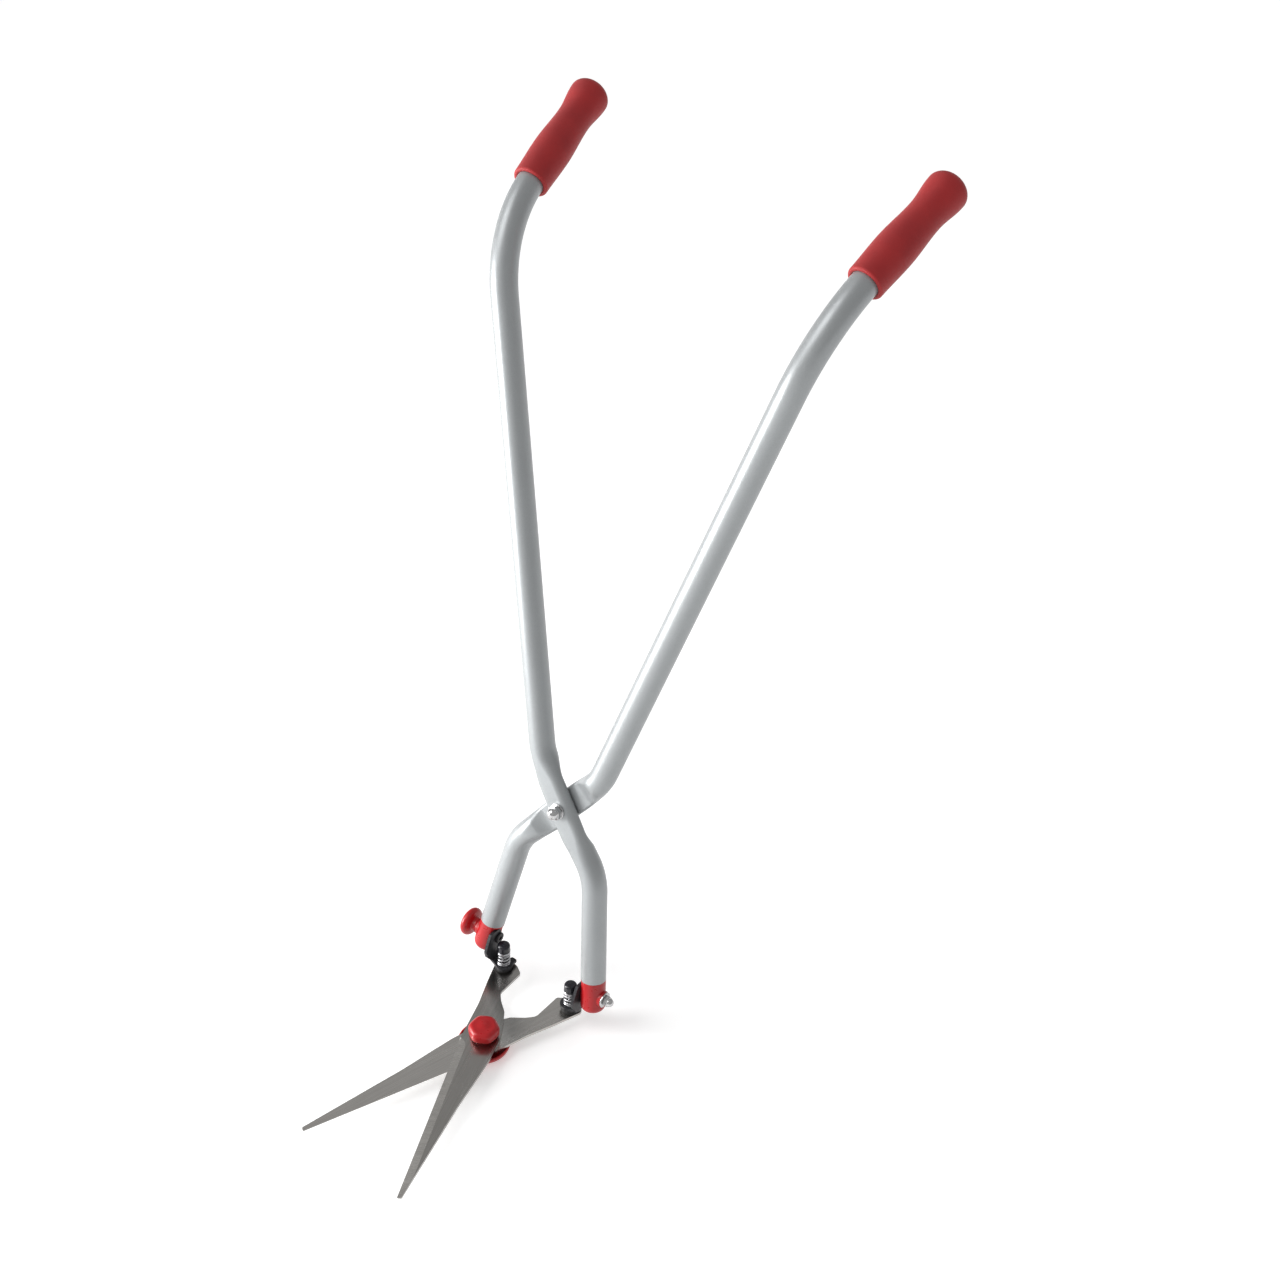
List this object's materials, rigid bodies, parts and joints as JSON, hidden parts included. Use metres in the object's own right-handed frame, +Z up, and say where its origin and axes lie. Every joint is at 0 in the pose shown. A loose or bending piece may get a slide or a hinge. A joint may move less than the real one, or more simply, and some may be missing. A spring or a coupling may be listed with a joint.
{
  "type": "long-handled garden shears",
  "caption": "Stand-up garden shears: crossed bent tube handles with moulded grips drive a pair of flat shear blades on a tilting head with a glide disc.",
  "frame": {"origin": "middle of the flat underside of the glide disc, under the blade pivot", "axes": "+Z up along the blade pivot, -Y towards the blade tips, +X towards the foot of the handle tube that crosses in front"},
  "size_m": [0.3938, 0.5605, 0.8283],
  "materials": {
    "silver_tube": "satin silver powder coat",
    "red_grip": "matt soft moulded grip",
    "red_plastic": "semi-gloss moulded plastic",
    "black_bracket": "black coated steel",
    "blade_steel": "ground along the blade, lightly satin",
    "bright_steel": "bright plated fasteners",
    "spring_steel": "bright drawn wire",
    "black_plastic": "smooth moulded plastic",
    "black_rubber": "matt rubber"
  },
  "bodies": {
    "front_handle": {"front_handle_tube": "silver_tube", "front_grip": "red_grip", "right_end_cap": "red_plastic", "handle_pivot_bolt": "bright_steel", "handle_pivot_washer": "bright_steel", "handle_pivot_rear_washer": "bright_steel", "handle_pivot_spacer": "black_plastic", "handle_pivot_acorn_nut": "bright_steel", "right_cross_bolt": "black_bracket", "right_cross_washer": "bright_steel", "right_acorn_nut": "bright_steel"},
    "rear_handle": {"rear_handle_tube": "silver_tube", "rear_grip": "red_grip", "left_end_cap": "red_plastic", "left_cross_bolt": "black_bracket"},
    "lock_knob": {"angle_lock_knob": "red_plastic", "lock_knob_nut": "bright_steel"},
    "right_bracket": {"right_bracket": "black_bracket"},
    "left_bracket": {"left_bracket": "black_bracket"},
    "right_pin": {"right_tang_pin": "bright_steel", "right_pin_spring": "spring_steel", "right_pin_washer": "bright_steel", "right_pin_nut": "bright_steel", "right_pin_cap": "black_plastic", "right_pin_ring": "black_rubber"},
    "lower_blade": {"lower_blade": "blade_steel"},
    "upper_blade": {"upper_blade": "blade_steel"},
    "pivot_knob": {"blade_pivot_knob": "red_plastic", "blade_pivot_bolt": "bright_steel", "blade_spring_washer": "bright_steel"},
    "glide_disc": {"glide_disc": "red_plastic", "glide_nut": "bright_steel"},
    "left_pin": {"left_tang_pin": "bright_steel", "left_pin_spring": "spring_steel", "left_pin_washer": "bright_steel", "left_pin_nut": "bright_steel", "left_pin_cap": "black_plastic", "left_pin_ring": "black_rubber"}
  },
  "joints": [
    {"name": "handle_pivot", "type": "hinge", "parent": "front_handle", "child": "rear_handle", "pos_m": [0, 0.12075, 0.23093], "axis": [0, 0.9833, -0.1822], "range_deg": [-14, 6]},
    {"name": "head_tilt", "type": "hinge", "parent": "front_handle", "child": "right_bracket", "pos_m": [0.067, 0.0869, 0.0481], "axis": [1, 0, 0], "range_deg": [-20, 20]},
    {"name": "left_head_tilt", "type": "hinge", "parent": "rear_handle", "child": "left_bracket", "pos_m": [-0.067, 0.0869, 0.0481], "axis": [1, 0, 0], "range_deg": [-20.5, 20.5]},
    {"name": "right_foot_rock", "type": "hinge", "parent": "right_bracket", "child": "right_pin", "pos_m": [0.043, 0.0815, 0.0215], "axis": [0, -0.9833, 0.1822], "range_deg": [-3.2, 7.2], "deforming": ["right_pin_spring", "right_pin_ring"]},
    {"name": "lower_blade_swing", "type": "hinge", "parent": "right_pin", "child": "lower_blade", "pos_m": [0.043, 0.0815, 0.0125], "axis": [0, 0, 1], "range_deg": [-8.2, 18.3]},
    {"name": "blade_pivot", "type": "hinge", "parent": "lower_blade", "child": "upper_blade", "pos_m": [0, 0, 0.014], "axis": [0, 0, 1], "range_deg": [-36.1, 15.8]},
    {"name": "left_pin_turn", "type": "hinge", "parent": "upper_blade", "child": "left_pin", "pos_m": [-0.043, 0.0815, 0.0155], "axis": [0, 0, 1], "range_deg": [-8.2, 18.3], "deforming": ["left_pin_spring", "left_pin_ring"]},
    {"name": "lock_knob_turn", "type": "hinge", "parent": "rear_handle", "child": "lock_knob", "pos_m": [-0.085, 0.0869, 0.0481], "axis": [-1, 0, 0], "range_deg": [0, 180]},
    {"name": "pivot_knob_turn", "type": "hinge", "parent": "lower_blade", "child": "pivot_knob", "pos_m": [0, 0, 0.02], "axis": [0, 0, 1], "range_deg": [0, 180]},
    {"name": "glide_disc_spin", "type": "hinge", "parent": "lower_blade", "child": "glide_disc", "pos_m": [0, 0, 0.006], "axis": [0, 0, 1], "continuous": true}
  ],
  "couplings": [
    {"joint": "left_head_tilt", "follows": "head_tilt", "ratio": 1},
    {"joint": "right_foot_rock", "follows": "handle_pivot", "ratio": -0.5},
    {"joint": "lower_blade_swing", "follows": "handle_pivot", "ratio": -1.27},
    {"joint": "blade_pivot", "follows": "handle_pivot", "ratio": 2.54},
    {"joint": "left_pin_turn", "follows": "handle_pivot", "ratio": -1.27}
  ]
}
